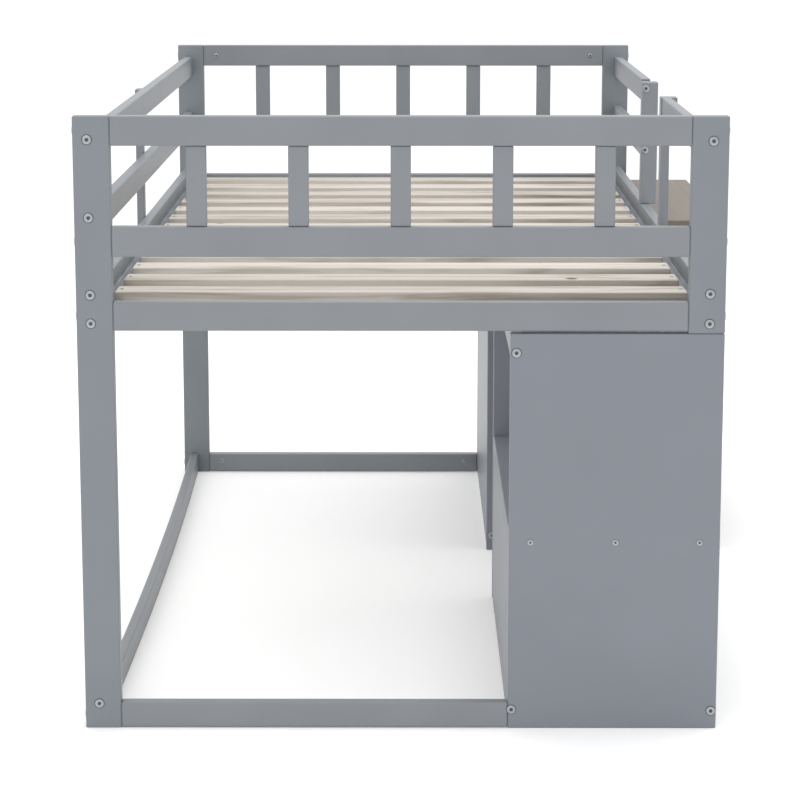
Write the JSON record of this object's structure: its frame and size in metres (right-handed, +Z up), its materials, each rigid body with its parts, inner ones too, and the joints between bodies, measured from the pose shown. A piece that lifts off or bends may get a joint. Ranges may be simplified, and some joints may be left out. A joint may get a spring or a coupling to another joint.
{
  "type": "loft bed with desk",
  "caption": "Low wooden loft bed with slatted base and guard rails, an open shelf unit, steps and a desk with a sliding tray along one side.",
  "frame": {"origin": "on the floor, at the middle of the whole object's footprint, desk included", "axes": "+Z up, Y along the bed, -Y the shelf end, +X the side with the shelf unit, steps and desk"},
  "size_m": [1.207, 2, 1.03],
  "materials": {
    "grey_paint": "satin grey paint on pine",
    "grey_board": "satin grey paint on board",
    "natural_pine": "bare planed pine",
    "tan_board": "matt tan wood board",
    "zinc_steel": "zinc-plated steel"
  },
  "bodies": {
    "bed": {"desk_back_panel": "grey_board", "desk_side_far": "grey_board", "desk_side_near": "grey_board", "desk_top": "tan_board", "entry_post_far": "grey_paint", "entry_post_near": "grey_paint", "far_baluster_1": "grey_paint", "far_baluster_2": "grey_paint", "far_baluster_3": "grey_paint", "far_baluster_4": "grey_paint", "far_baluster_5": "grey_paint", "far_floor_rail": "grey_paint", "far_left_post": "grey_paint", "far_low_rail": "grey_paint", "far_mid_rail": "grey_paint", "far_right_post": "grey_paint", "far_top_rail": "grey_paint", "left_floor_rail": "grey_paint", "left_guard_upright": "grey_paint", "left_mid_guard_rail": "grey_paint", "left_side_rail": "grey_paint", "left_top_guard_rail": "grey_paint", "near_baluster_1": "grey_paint", "near_baluster_2": "grey_paint", "near_baluster_3": "grey_paint", "near_baluster_4": "grey_paint", "near_baluster_5": "grey_paint", "near_floor_rail": "grey_paint", "near_left_post": "grey_paint", "near_low_rail": "grey_paint", "near_mid_rail": "grey_paint", "near_right_post": "grey_paint", "near_top_rail": "grey_paint", "right_hand_rail": "grey_paint", "right_mid_guard_rail": "grey_paint", "right_side_rail": "grey_paint", "right_top_guard_rail": "grey_paint", "shelf_back_panel": "grey_board", "shelf_base_board": "grey_board", "shelf_end_panel": "grey_board", "shelf_inner_panel": "grey_board", "shelf_mid_board": "grey_board", "shelf_top_rail": "grey_paint", "slat_01": "natural_pine", "slat_02": "natural_pine", "slat_03": "natural_pine", "slat_04": "natural_pine", "slat_05": "natural_pine", "slat_06": "natural_pine", "slat_07": "natural_pine", "slat_08": "natural_pine", "slat_09": "natural_pine", "slat_10": "natural_pine", "slat_11": "natural_pine", "slat_12": "natural_pine", "slat_13": "natural_pine", "step_1": "grey_paint", "step_2": "grey_paint", "step_3": "grey_paint"},
    "desk_tray": {"desk_tray": "tan_board"}
  },
  "joints": [
    {"name": "desk_tray_slide", "type": "slide", "parent": "bed", "child": "desk_tray", "axis": [1, 0, 0], "range_m": [0, 0.3]}
  ]
}
